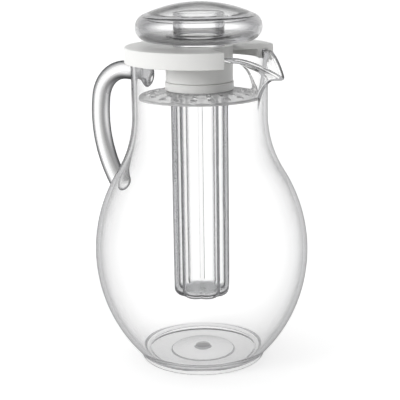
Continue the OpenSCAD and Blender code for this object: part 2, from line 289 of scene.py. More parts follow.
def ramp(tree: NodeTree, value: NodeSocket, stops: Stops) -> NodeSocket:
    """Colour that follows a value from 0 to 1.

    Args:
        tree: The material's tree.
        value: The value.
        stops: Places and hex colours, in order.

    Returns:
        The colour.
    """
    node = add_node(tree, "ValToRGB", Fac=value)
    elements = node.color_ramp.elements
    for element, (position, colour) in ((elements[0], stops[0]), (elements[-1], stops[-1])):
        element.position, element.color = position, linear(colour)
    for position, colour in stops[1:-1]:
        elements.new(position).color = linear(colour)
    return node.outputs["Color"]


def mixed(tree: NodeTree, share: Any, one: Any, other: Any, blend: str = "MIX") -> NodeSocket:
    """Mix of two colours, each a socket or a hex colour, by the second one's share."""
    return add_node(tree, "Mix", data_type="RGBA", blend_type=blend, n0=share, n6=one,
                    n7=other).outputs[2]


def layered(tree: NodeTree, share: Any, one: Node, other: Node) -> Node:
    """Mix of two shaders by the second one's share, a number or a socket."""
    return add_node(tree, "MixShader", Fac=share, n1=one.outputs[0], n2=other.outputs[0])


def noise(tree: NodeTree, place: NodeSocket, size_mm: float, detail: float,
          rough: float = 0.5) -> NodeSocket:
    """Noise from 0 to 1 with lumps of a size in mm."""
    return add_node(tree, "TexNoise", Vector=place, Scale=1 / (size_mm * MM), Detail=detail,
                    Roughness=rough).outputs["Fac"]


@dataclass(frozen=True)
class Finish:
    """A material. Each kind of finish has a surface method of its own."""

    name: str

    def surface(self, tree: NodeTree) -> Node:
        """Draws the surface.

        Args:
            tree: The material's tree.

        Returns:
            The last shader.
        """
        raise NotImplementedError

    def build(self) -> Material:
        """Returns a new material with this surface."""
        material = bpy.data.materials.new(self.name)
        material.use_nodes = True
        tree = material.node_tree
        tree.nodes.clear()
        output = add_node(tree, "OutputMaterial")
        tree.links.new(self.surface(tree).outputs[0], output.inputs["Surface"])
        return material


@dataclass(frozen=True)
class PolishedStyrene(Finish):
    """Styrene-acrylonitrile, injection moulded in a polished tool: water clear and glossy.

    Where the eye meets the wall at a flat angle, the face reads clear and the outline grey:
    clear_stops tint what is seen through the wall, and the grey at the outline is painted shade
    for the darker surroundings that the wall bends into view; shade_stops tint its shadow. The
    grey gloss tones are painted shade that dims every reflection. The melt's flow leaves a faint
    waviness that bends what is seen. Light mirrored more often than inner_mirrors is let straight
    out, as its path would end black.
    """

    name: str = "styrene_acrylonitrile_polished"
    # Painted shade: this ramp greys the outline of what is seen through the wall
    clear_stops: Stops = ((0.2, "#ffffff"), (0.35, "#fdfdfd"), (0.5, "#fafafa"), (0.7, "#f7f7f7"),
                          (0.86, "#e9e9e9"), (0.94, "#cacacb"), (1.0, "#636364"))
    shade_stops: Stops = ((0.0, "#f8f8f8"), (0.7, "#ececec"), (1.0, "#8c8c8d"))
    facing_blend: float = 0.5
    piped_tone: str = "#ececec"
    # Painted reflection of the jug's dark edge, inside the bends of a bar
    inner_stops: Stops = ()
    inner_centre: tuple[float, float, float] = (0.0, 0.0, 0.0)
    scar_mm: float = 0.0
    scar_stops: Stops = ((0.0, "#d7d7d7"), (0.9, "#d7d7d7"), (1.0, "#ffffff"))
    # Painted shade: grey tones that dim what the wall mirrors, standing in for a darker room
    gloss_face: str = "#aaaaab"
    gloss_inside: str = "#e3e3e4"
    gloss_from: float = 0.05
    ior: float = 1.57
    roughness: float = 0.0
    inner_mirrors: float = 1.5
    haze: float = 0.0
    haze_colour: str = "#f4f4f4"
    wave_mm: float = 30.0
    wave_detail: float = 1.0
    wave_rough: float = 0.4
    wave_bump: float = 0.04

    def painted_inner_reflection(self, tree: NodeTree, place: NodeSocket, side: Node) -> NodeSocket:
        """Painted reflection of the jug's dark edge, on the flank that faces the inside of a bend.

        Args:
            tree: The material's tree.
            place: Object coordinates.
            side: The geometry node.

        Returns:
            The colour: white on the outer flank and on the faces behind.
        """
        centre = tuple(v * MM for v in self.inner_centre)
        inwards = add_node(tree, "VectorMath", operation="SUBTRACT", n0=centre, n1=place)
        inwards = add_node(tree, "VectorMath", operation="NORMALIZE", n0=inwards.outputs[0])
        turned = add_node(tree, "VectorMath", operation="DOT_PRODUCT", n0=side.outputs["Normal"],
                          n1=inwards.outputs[0])
        shade = ramp(tree, turned.outputs["Value"], self.inner_stops)
        return mixed(tree, side.outputs["Backfacing"], shade, self.clear_stops[0][1])

    def scar_shade(self, tree: NodeTree, place: NodeSocket) -> NodeSocket:
        """Colour of the rough disc on the axis where the mould's gate was cut off.

        Args:
            tree: The material's tree.
            place: Object coordinates.

        Returns:
            The colour: grey on the disc and white elsewhere.
        """
        share = 1.0 / (self.scar_mm * MM)
        flat = add_node(tree, "VectorMath", operation="MULTIPLY", n0=place, n1=(share, share, 0.0))
        away = add_node(tree, "VectorMath", operation="LENGTH", n0=flat.outputs[0])
        return ramp(tree, away.outputs["Value"], self.scar_stops)

    def surface(self, tree: NodeTree) -> Node:
        """Draws the surface, as the base class says."""
        facing = add_node(tree, "LayerWeight", Blend=self.facing_blend).outputs["Facing"]
        place = add_node(tree, "TexCoord").outputs["Object"]
        side = add_node(tree, "NewGeometry")
        # Painted shade: the tint greys what is seen through the wall where it turns from the eye
        tint = ramp(tree, facing, self.clear_stops)
        # Painted reflection of the jug's dark edge on the flank inside a bend
        if self.inner_stops:
            tint = mixed(tree, 1.0, tint, self.painted_inner_reflection(tree, place, side), "MULTIPLY")
        if self.scar_mm:
            tint = mixed(tree, 1.0, tint, self.scar_shade(tree, place), "MULTIPLY")
        wave = noise(tree, place, self.wave_mm, self.wave_detail, self.wave_rough)
        bump = add_node(tree, "Bump", Height=wave, Strength=self.wave_bump,
                        Distance=MM).outputs["Normal"]
        through = add_node(tree, "BsdfRefraction", Color=tint, Normal=bump, IOR=self.ior,
                           Roughness=self.roughness)
        # Painted shade: the grey gloss tones dim every reflection, standing in for a darker room
        tone = mixed(tree, side.outputs["Backfacing"], self.gloss_face, self.gloss_inside)
        mirror = add_node(tree, "BsdfAnisotropic", Color=tone, Normal=bump,
                          Roughness=self.roughness)
        share = add_node(tree, "Fresnel", Normal=bump, IOR=self.ior).outputs[0]
        share = add_node(tree, "MapRange", Value=share, From_Min=self.gloss_from).outputs[0]
        skin = layered(tree, share, through, mirror)
        if self.haze:
            milk = add_node(tree, "BsdfDiffuse", Normal=bump, Color=self.haze_colour)
            skin = layered(tree, self.haze, skin, milk)
        rays = add_node(tree, "LightPath").outputs
        shade = add_node(tree, "BsdfTransparent", Color=ramp(tree, facing, self.shade_stops))
        skin = layered(tree, rays["Is Shadow Ray"], skin, shade)
        piped = add_node(tree, "Math", operation="GREATER_THAN", n0=rays["Glossy Depth"],
                         n1=self.inner_mirrors).outputs[0]
        let_out = add_node(tree, "BsdfTransparent", Color=self.piped_tone)
        return layered(tree, piped, skin, let_out)


@dataclass(frozen=True)
class SatinPolypropylene(Finish):
    """Polypropylene, white, moulded in a fine-spark tool: satin, with a grain too fine to count.

    The grain is drawn 0.7 mm wide, coarser than the real 0.1 mm, so that it still breaks up the
    gloss in a small picture.
    """

    name: str = "polypropylene_white_satin"
    colour: str = "#f3f3f1"
    shade_colour: str = "#eeeeec"
    roughness: float = 0.34
    rough_spread: float = 0.05
    grain_mm: float = 0.7
    grain_depth_mm: float = 0.1
    grain_bump: float = 0.08
    cloud_mm: float = 24.0
    detail: float = 2.0
    ior: float = 1.49

    def surface(self, tree: NodeTree) -> Node:
        """Draws the surface, as the base class says."""
        place = add_node(tree, "TexCoord").outputs["Object"]
        grain = noise(tree, place, self.grain_mm, self.detail)
        cloud = noise(tree, place, self.cloud_mm, self.detail)
        colour = mixed(tree, cloud, self.colour, self.shade_colour)
        rough = add_node(tree, "MapRange", Value=grain, To_Min=self.roughness - self.rough_spread,
                         To_Max=self.roughness + self.rough_spread)
        bump = add_node(tree, "Bump", Height=grain, Strength=self.grain_bump,
                        Distance=self.grain_depth_mm * MM)
        return add_node(tree, "BsdfPrincipled", Base_Color=colour, Roughness=rough.outputs[0],
                        Normal=bump.outputs["Normal"], IOR=self.ior)


@dataclass(frozen=True)
class MattSilicone(Finish):
    """Silicone rubber, translucent white, moulded: soft, dull and a little dusty."""

    name: str = "silicone_rubber_matt"
    colour: str = "#dededa"
    roughness: float = 0.62
    grain_mm: float = 1.2
    grain_depth_mm: float = 0.1
    grain_bump: float = 0.15
    detail: float = 3.0
    ior: float = 1.41

    def surface(self, tree: NodeTree) -> Node:
        """Draws the surface, as the base class says."""
        place = add_node(tree, "TexCoord").outputs["Object"]
        grain = noise(tree, place, self.grain_mm, self.detail)
        bump = add_node(tree, "Bump", Height=grain, Strength=self.grain_bump,
                        Distance=self.grain_depth_mm * MM)
        return add_node(tree, "BsdfPrincipled", Normal=bump.outputs["Normal"],
                        Base_Color=self.colour, Roughness=self.roughness, IOR=self.ior)


@dataclass(frozen=True)
class StudioPaper(Finish):
    """Seamless white paper: dull, and lifted by a light of its own that lights nothing else."""

    name: str = "studio_paper_white"
    colour: str = "#f2f2f2"
    lift: float = 0.58

    def surface(self, tree: NodeTree) -> Node:
        """Draws the surface, as the base class says."""
        rays = add_node(tree, "LightPath").outputs
        lift = add_node(tree, "MapRange", Value=rays["Diffuse Depth"], To_Min=self.lift,
                        To_Max=0.0)
        return add_node(tree, "BsdfPrincipled", Emission_Strength=lift.outputs[0],
                        Base_Color=self.colour, Roughness=1.0, Emission_Color=WHITE,
                        Specular_IOR_Level=0.0)


def built(finish: type[Finish], **looks: Any) -> Any:
    """Field of Finishes that makes a material, with some looks of its own."""
    return field(default_factory=lambda: finish(**looks).build())


KNOB_LOOKS: dict[str, Any] = {
    "gloss_face": "#f4f4f4", "piped_tone": "#f0f0f0", "ior": 1.45,
    "shade_stops": ((0.0, "#ffffff"), (0.7, "#f9f9f9"), (1.0, "#c4c4c5"))}


@dataclass
class Finishes:
    """Every material of the pitcher, made once."""

    # Jug: polished walls with painted grey outlines and the scar of the gate in the base
    clear: Material = built(PolishedStyrene, scar_mm=6.2)
    # Handle: a solid bar, painted grey at its outline, with a painted reflection of the jug's
    # dark edge on the flank inside its bends
    bar: Material = built(
        PolishedStyrene, name="styrene_acrylonitrile_solid_bar", gloss_face="#565657",
        clear_stops=((0.0, "#ffffff"), (0.17, "#fefefe"), (0.26, "#f0f0f0"), (0.36, "#c4c4c5"),
                     (0.5, "#8f9091"), (1.0, "#505152")),
        inner_stops=((0.0, "#ffffff"), (0.12, "#efefef"), (0.25, "#d6d6d6"), (0.4, "#b5b5b5"),
                     (0.6, "#909090"), (0.75, "#979798"), (0.9, "#cfcfd0"), (1.0, "#e8e8e8")),
        inner_centre=(-64.0, 0.0, 184.0))
    # Strainer: thin, a little milky from its fine-spark tool, and painted grey at its outline
    hazy: Material = built(
        PolishedStyrene, name="styrene_acrylonitrile_fine_spark", ior=1.15, roughness=0.2,
        haze=0.3, clear_stops=((0.0, "#ffffff"), (0.9, "#f9f9f9"), (1.0, "#b9babb")))
    # Knob's lower half: painted grey crescents where its round wall turns away
    bowl: Material = built(
        PolishedStyrene, name="styrene_acrylonitrile_polished_bowl", **KNOB_LOOKS,
        clear_stops=((0.0, "#ffffff"), (0.2, "#fdfdfd"), (0.42, "#d8d8d9"), (0.6, "#c6c6c7"),
                     (0.74, "#e6e6e6"), (0.92, "#f0f0f0"), (1.0, "#818283")))
    # Knob's upper half: clear over the air inside, with a fainter painted grey outline
    hollow: Material = built(
        PolishedStyrene, name="styrene_acrylonitrile_polished_hollow", **KNOB_LOOKS,
        clear_stops=((0.0, "#ffffff"), (0.9, "#fcfcfc"), (0.97, "#f2f2f2"), (1.0, "#b4b4b5")))
    # Ice tube: painted grey stripes on the flanks of its flutes
    ribbed: Material = built(
        PolishedStyrene, name="styrene_acrylonitrile_fluted", piped_tone="#f6f6f6",
        clear_stops=((0.0, "#ffffff"), (0.2, "#f8f8f8"), (0.35, "#e5e5e6"), (0.6, "#bfc0c1"),
                     (0.85, "#868889"), (1.0, "#5b5d5f")))
    white: Material = built(SatinPolypropylene)
    seal: Material = built(MattSilicone)


# Sub-assemblies


class SubAssembly:
    """Sizes and shapes of pieces that belong together, in mm."""

    def build(self, finishes: Finishes) -> list[Object]:
        """Models the pieces and dresses them.

        Args:
            finishes: The materials.

        Returns:
            The pieces.
        """
        raise NotImplementedError


# Jug


@dataclass
class Jug(SubAssembly):
    """The clear body: foot ring, bulb, neck and the V lip that is pulled out of the neck.

    The small outlines, such as foot_inside, are steps out and up from the corner they shape.
    """

    belly_r: float = 82.0
    belly_z: float = 86.0
    belly_arc: float = 116.0
    neck_r: float = 51.2
    neck_arc: float = 86.0
    rim_z: float = 239.5
    rim_edge: float = 1.2
    rim_turns: tuple[float, ...] = (30.0, 60.0, 90.0)
    wall: float = 3.2
    line_step: float = 3.0
    closest: float = 0.02
    foot_r: float = 48.5
    foot_h: float = 6.0
    foot_edge: float = 3.0
    foot_edge_step: float = 0.8
    foot_in_r: float = 43.1
    foot_inside: tuple[Point, ...] = ((-1.2, 3.8), (0.0, 2.8), (0.2, 0.5), (0.7, 0.0))
    foot_top: tuple[Point, ...] = ((0.0, -0.9), (0.2, -0.35), (0.8, 0.0))
    wall_from: float = 0.5
    floor_r: float = 44.2
    floor_z: float = 7.1
    floor_edge: tuple[Point, ...] = ((3.0, 1.7), (1.2, 0.5), (-0.8, 0.0))
    floor_end: Point = (-2.0, -0.2)
    floor_step: float = 4.0
    inside_from: float = 4.6
    ring_r: float = 24.5
    ring_under: Point = (0.6, 0.5)
    ring_over: Point = (0.9, 0.1)
    dip_z: float = 4.8
    dome_rise: float = 2.0
    dome_step: float = 2.5
    gate_r: float = 6.2
    gate_h: float = 0.6
    gate_edge: Point = (0.4, 0.3)
    lip_from_z: float = 195.0
    lip_slope: float = tan(radians(46.0))
    lip_in_reach: float = 67.7
    lip_in_z: float = 225.2
    lip_out_z: float = 224.4
    lip_sector: float = 44.0
    lip_blend: float = 4.0
    lip_soft: float = 0.2
    lip_softer: float = 0.9
    lip_fade: Point = (30.0, 42.0)
    dip_from: float = 44.0
    dip_power: float = 1.6
    parallel: float = 1e-3
    keel_out_sweep: tuple[float, float, float] = (197.0, 16.0, 25.5)
    keel_out_top: float = 221.0
    keel_tip: tuple[Point, ...] = ((64.2, 221.4), (67.4, 221.6), (69.6, 221.8), (71.0, 222.3),
                                   (71.9, 223.2))
    keel_in_sweep: tuple[float, float, float] = (199.0, 19.7, 25.0)
    keel_out_edge: float = 1.6
    keel_in_edge: float = 0.8
    rows: int = 54
    fine: float = 8.0
    steps: tuple[int, int, int] = (50, 38, 88)
    sharp: float = 40.0

    def __post_init__(self) -> None:
        """Works out where the arcs meet and the two keels of the lip."""
        arcs = self.belly_arc + self.neck_arc
        self.turn = degrees(acos(1 - (self.belly_r - self.neck_r) / arcs))
        self.neck_z = self.belly_z + arcs * sin(radians(self.turn))
        self.neck_in_r = self.neck_r - self.wall
        self.row_top = self.rim_z - self.rim_edge
        outer = [p for p in self.sweep(self.neck_r, *self.keel_out_sweep)
                 if p[1] < self.keel_out_top]
        inner = self.sweep(self.neck_in_r, *self.keel_in_sweep)
        self.keel_out = resample([(self.neck_r, self.lip_from_z), *outer, *self.keel_tip],
                                 self.rows)
        self.keel_in = resample([(self.neck_in_r, self.lip_from_z), *inner], self.rows)

    @staticmethod
    def sweep(radius: float, low_z: float, reach: float, rise: float,
              count: int = 40) -> list[Point]:
        """Quarter of an ellipse that leaves the neck upwards and ends level."""
        turn = [radians(90 * i / count) for i in range(count + 1)]
        return [(radius + reach * (1 - cos(a)), low_z + rise * sin(a)) for a in turn]

    def wall_line(self, inset: float, low_z: float) -> list[Point]:
        """Bulb and shoulder, from a height up to the neck.

        Args:
            inset: How far the skin lies inside the outer one.
            low_z: Height where it starts.

        Returns:
            The points, both ends included.
        """
        radius = self.belly_arc - inset
        low = degrees(asin((low_z - self.belly_z) / radius))
        bulb = arc((self.belly_r - self.belly_arc, self.belly_z), radius, low, self.turn,
                   self.line_step)
        shoulder = arc((self.neck_r + self.neck_arc, self.neck_z), self.neck_arc + inset,
                       180 + self.turn, 180, self.line_step)
        return bulb + shoulder[1:]

    def neck_rows(self, keel: list[Point], radius: float) -> list[Point]:
        """Rows of the neck, spaced so that they follow the keel once the lip is pulled."""
        low, scale = keel[0][1], (self.row_top - keel[0][1]) / (keel[-1][1] - keel[0][1])
        return [(radius, low + (z - low) * scale) for _, z in keel]

    def profile(self) -> list[Point]:
        """Returns the outline of the wall, from the middle of the underside to that inside."""
        under = self.dip_z - self.wall
        gate_z = under + self.dome_rise - self.gate_h
        wide, high = self.gate_edge
        points: list[Point] = [(0.0, gate_z), (self.gate_r - wide, gate_z),
                               (self.gate_r, gate_z + high)]
        crown = dome(self.ring_r, under, self.dome_rise, self.dome_step)[::-1]
        points += [p for p in crown if p[0] > self.gate_r + high]
        points += spread(shifted([self.ring_under], self.ring_r, under)
                         + shifted(self.foot_inside, self.foot_in_r, 0.0), self.line_step)
        points += arc((self.foot_r - self.foot_edge, self.foot_edge), self.foot_edge, -90, 0,
                      self.foot_edge_step)
        points += shifted(self.foot_top, self.foot_r, self.foot_h)
        points += self.wall_line(0.0, self.foot_h + self.wall_from)
        points += self.neck_rows(self.keel_out, self.neck_r)
        corner = [(self.rim_edge * (1 - cos(radians(a))),
                   self.row_top + self.rim_edge * sin(radians(a))) for a in self.rim_turns]
        points += [(self.neck_r - r, z) for r, z in corner]
        points += [(self.neck_in_r + r, z) for r, z in reversed(corner)]
        points += self.neck_rows(self.keel_in, self.neck_in_r)[::-1]
        points += self.wall_line(self.wall, self.floor_z + self.inside_from)[::-1]
        points += shifted(self.floor_edge, self.floor_r, self.floor_z)
        points += spread(shifted([self.floor_end], self.floor_r, self.floor_z)
                         + shifted([self.ring_over], self.ring_r, self.dip_z), self.floor_step)
        points += dome(self.ring_r, self.dip_z, self.dome_rise, self.dome_step)
        result = [points[0]]
        for point in points[1:]:
            if dist(point, result[-1]) > self.closest:
                result.append(point)
        return result

    def lip_radius(self, keel: list[Point], angle: float, z: float, base: float,
                   edge: float) -> float:
        """Radius of a skin of the neck where the lip is pulled out of it.

        Args:
            keel: Reach and height of the lip's keel for this skin.
            angle: Angle from the spout's plane, in radians.
            z: Height in mm.
            base: Radius of the plain neck.
            edge: Half width of the rounding along the keel.

        Returns:
            The radius in mm.
        """
        reach = keel[0][0]
        for a, b in zip(keel, keel[1:]):
            if z >= b[1]:
                reach = b[0]
            elif z > a[1]:
                reach = a[0] + (b[0] - a[0]) * (z - a[1]) / (b[1] - a[1])
                break
        pulled = smoothstep(reach - base, 0.0, self.lip_blend)
        if pulled <= 0.0:
            return base
        edge *= pulled
        apex = reach + edge / self.lip_slope
        c, s = cos(angle) * self.lip_slope, sin(angle)
        span = c * c - s * s
        if abs(span) < self.parallel:
            span = self.parallel
        middle = apex * c * self.lip_slope
        root = middle ** 2 - span * ((apex * self.lip_slope) ** 2 - edge ** 2)
        side = (middle - sqrt(max(0.0, root))) / span
        soft = smooth_max(base, side, self.lip_soft + self.lip_softer * pulled)
        fade = 1.0 - smoothstep(abs(degrees(angle)), *self.lip_fade)
        return base + (soft - base) * fade

    def rim_height(self, angle: float) -> float:
        """Height of the rim's inner edge in mm, at an angle in radians from the spout's plane."""
        x = cos(angle) * self.lip_radius(self.keel_in, angle, self.rim_z, self.neck_in_r,
                                         self.keel_in_edge)
        share = max(0.0, (x - self.dip_from) / (self.lip_in_reach - self.dip_from))
        return self.rim_z - (self.rim_z - self.lip_in_z) * share ** self.dip_power

    def pull_lip(self, bm: BMesh) -> None:
        """Moves the neck's points of the jug's mesh out and down to the V lip."""
        low = self.lip_from_z
        rims: dict[float, float] = {}
        for vert in bm.verts:
            x, y, z = vert.co / MM
            angle = atan2(y, x)
            if z <= low or abs(angle) > radians(self.lip_sector):
                continue
            key = round(abs(angle), 6)
            if key not in rims:
                rims[key] = self.rim_height(angle)
            rim = rims[key]
            share = min(1.0, max(0.0, (hypot(x, y) - self.neck_in_r) / self.wall))
            drop = (self.lip_in_z - self.lip_out_z) * (self.rim_z - rim) / (
                self.rim_z - self.lip_in_z)
            top = rim - drop * share - self.rim_edge
            rise = (min(z, self.row_top) - low) / (self.row_top - low)
            level = low + rise * (top - low) + max(0.0, z - self.row_top)
            outer, inner = (
                self.lip_radius(keel, angle, low + rise * (keel[-1][1] - low), base, edge)
                for keel, base, edge in ((self.keel_out, self.neck_r, self.keel_out_edge),
                                         (self.keel_in, self.neck_in_r, self.keel_in_edge)))
            radius = inner + (outer - inner) * share
            vert.co = Vector((radius * cos(angle), radius * sin(angle), level)) * MM

    def build(self, finishes: Finishes) -> list[Object]:
        """Models and dresses the jug, as the base class says."""
        flank, keel, back = self.steps
        side = (self.lip_sector - self.fine, flank)
        zones = (side, (2 * self.fine, keel), side, (FULL_TURN - 2 * self.lip_sector, back))
        bm = turn_profile(self.profile(), zones, start=-self.lip_sector)
        self.pull_lip(bm)
        bmesh.ops.recalc_face_normals(bm, faces=bm.faces)
        return [publish("clear_jug", bm, self.sharp, Body.JUG, "jug_body",
                        finishes.clear)]


@dataclass
class Handle(SubAssembly):
    """Solid clear bar: level from the neck, down in a hook, and in to the shoulder.

    Each bend is a radius, a turn in degrees and a number of faces.
    """

    bar_r: float = 7.2
    neck_r: float = 51.2
    sunk: float = 0.5
    level_z: float = 221.6
    level_l: float = 16.6
    level_steps: int = 14
    bends: tuple[tuple[float, float, int], ...] = ((25.8, 71.6, 22), (32.4, 10.0, 4),
                                                   (98.4, 40.0, 32))
    end_steps: int = 9
    end_pole: float = 1e-4
    flare: float = 2.5
    flare_l: float = 5.0
    flare_power: float = 1.5
    flare_far: float = 3.0
    sides: int = 40
    sharp: float = 50.0

    def build(self, finishes: Finishes) -> list[Object]:
        """Models and dresses the handle, as the base class says."""
        bm = bmesh.new()
        start = Matrix.Translation((-(self.neck_r - self.sunk) * MM, 0, self.level_z * MM))
        ring = bmesh.ops.create_circle(bm, segments=self.sides, radius=self.bar_r * MM,
                                       matrix=start @ Matrix.Rotation(radians(90), 4, "Y"))
        geom: list[Any] = ring["verts"] + list({e for v in ring["verts"] for e in v.link_edges})
        reach = (self.level_l + self.sunk) * MM / self.level_steps
        for _ in range(self.level_steps):
            geom = self.extrude(bm, geom, Vector((-reach, 0, 0)))
        place = Vector((-(self.neck_r + self.level_l), 0, self.level_z))
        heading = 0.0
        for radius, angle, count in self.bends:
            a, b = radians(heading), radians(heading + angle)
            centre = place + Vector((sin(a), 0, -cos(a))) * radius
            geom = spin(bm, geom, angle, count, centre * MM, (0, -1, 0))
            place = centre + Vector((-sin(b), 0, cos(b))) * radius
            heading += angle
        self.round_end(bm, geom, place, radians(heading))
        self.widen_root(bm)
        bmesh.ops.holes_fill(bm, edges=[e for e in bm.edges if e.is_boundary], sides=0)
        weld(bm)
        return [publish("bar_handle", bm, self.sharp, Body.JUG, "handle",
                        finishes.bar)]

    @staticmethod
    def extrude(bm: BMesh, geom: Iterable[Any], step: Vector) -> list[Any]:
        """Extrudes a ring of edges.

        Args:
            bm: The handle's mesh.
            geom: Vertices and edges of the ring.
            step: How far, in metres.

        Returns:
            Vertices and edges of the new ring.
        """
        edges = [g for g in geom if isinstance(g, BMEdge)]
        new = bmesh.ops.extrude_edge_only(bm, edges=edges)["geom"]
        verts = [g for g in new if isinstance(g, BMVert)]
        bmesh.ops.translate(bm, vec=step, verts=verts)
        return verts + [g for g in new if isinstance(g, BMEdge)
                        and all(v in verts for v in g.verts)]

    def round_end(self, bm: BMesh, geom: list[Any], place: Vector, heading: float) -> None:
        """Closes the lower end with a dome.

        Args:
            bm: The handle's mesh.
            geom: Vertices and edges of the last ring.
            place: Middle of the last ring, in mm.
            heading: Turn of the bar so far, in radians.
        """
        ahead = Vector((-cos(heading), 0, -sin(heading)))
        for i in range(1, self.end_steps + 1):
            low, high = (radians(90 * (i - k) / self.end_steps) for k in (1, 0))
            geom = self.extrude(bm, geom, ahead * self.bar_r * (sin(high) - sin(low)) * MM)
            verts = [g for g in geom if isinstance(g, BMVert)]
            centre = (place + ahead * self.bar_r * sin(high)) * MM
            size = max(cos(high), self.end_pole) / cos(low)
            bmesh.ops.scale(bm, vec=(size, size, size), space=Matrix.Translation(-centre),
                            verts=verts)

    def widen_root(self, bm: BMesh) -> None:
        """Spreads the handle's mesh where it is bonded to the neck, mostly downwards."""
        lowest = self.level_z - self.flare_far * self.bar_r
        for vert in bm.verts:
            x, y, z = vert.co / MM
            off = -x - self.neck_r
            if off > self.flare_far * self.flare_l or z < lowest:
                continue
            grow = exp(-(max(0.0, off + self.sunk) / self.flare_l) ** self.flare_power)
            size = 1 + self.flare * grow / self.bar_r
            vert.co.y = y * size * MM
            vert.co.z = (self.level_z + (z - self.level_z) * size - self.flare * grow) * MM


# Lid


@dataclass
class LidCover(SubAssembly):
    """White lid: plate, skirt, ring in the neck, plug and the cut-out for pouring."""

    outer_r: float = 55.8
    plate_z: float = 239.8
    top_z: float = 243.8
    rim_edge: float = 1.2
    rim_step: float = 0.35
    skirt_z: float = 232.0
    skirt_in_r: float = 51.65
    ring_out_r: float = 47.55
    ring_in_r: float = 44.55
    ring_z: float = 233.2
    ring_chamfer: float = 1.2
    plug_r: float = 25.2
    plug_z: float = 217.8
    bore_r: float = 22.3
    ceiling_z: float = 227.7
    well_z: float = 230.7
    well_r: float = 19.3
    cut_angle: float = 38.5
    cut_gap: float = 0.2
    loop_play: float = 0.05
    edge: float = 0.5
    edge_steps: int = 3
    edge_angle: float = 50.0
    steps: tuple[int, int] = (116, 32)
    sharp: float = 35.0

    def profile(self) -> list[Point]:
        """Returns the lid's half section, from the plug's ceiling to the bottom of the well."""
        corner = (self.outer_r - self.rim_edge, self.top_z - self.rim_edge)
        return [(0.0, self.ceiling_z), (self.bore_r, self.ceiling_z), (self.bore_r, self.plug_z),
                (self.plug_r, self.plug_z), (self.plug_r, self.plate_z),
                (self.ring_in_r - self.ring_chamfer, self.plate_z),
                (self.ring_in_r, self.plate_z - self.ring_chamfer),
                (self.ring_in_r, self.ring_z), (self.ring_out_r, self.ring_z),
                (self.ring_out_r, self.plate_z), (self.skirt_in_r, self.plate_z),
                (self.skirt_in_r, self.skirt_z), (self.outer_r, self.skirt_z),
                *arc(corner, self.rim_edge, 0, 90, self.rim_step),
                (self.plug_r, self.top_z), (self.well_r, self.top_z), (self.well_r, self.well_z),
                (0.0, self.well_z)]

    def build(self, finishes: Finishes) -> list[Object]:
        """Models and dresses the lid, as the base class says."""
        cut = 2 * self.cut_angle
        zones = ((FULL_TURN - cut, self.steps[0]), (cut, self.steps[1]))
        bm = turn_profile(self.profile(), zones, start=self.cut_angle)
        self.open_sector(bm)
        piece = publish("white_lid", bm, self.sharp, Body.LID, "lid_cover",
                        finishes.white)
        bevel = piece.modifiers.new("moulded_edges", "BEVEL")
        bevel.width = self.edge * MM
        bevel.segments = self.edge_steps
        bevel.limit_method = "ANGLE"
        bevel.angle_limit = radians(self.edge_angle)
        bevel.harden_normals = True
        return [piece]

    def open_sector(self, bm: BMesh) -> None:
        """Cuts the pouring sector out of the lid's mesh, outside the plug, and closes the cut."""
        gone = []
        for face in bm.faces:
            c = face.calc_center_median() / MM
            outside = hypot(c.x, c.y) > self.plug_r + self.cut_gap
            if outside and abs(atan2(c.y, c.x)) < radians(self.cut_angle):
                gone.append(face)
        bmesh.ops.delete(bm, geom=gone, context="FACES")
        arcs = [e for e in bm.edges if e.is_boundary and all(
            abs(v.co.xy.length / MM - self.plug_r) < self.loop_play for v in e.verts)]
        bmesh.ops.bridge_loops(bm, edges=arcs)
        bmesh.ops.holes_fill(bm, edges=[e for e in bm.edges if e.is_boundary], sides=0)
        bmesh.ops.recalc_face_normals(bm, faces=bm.faces)


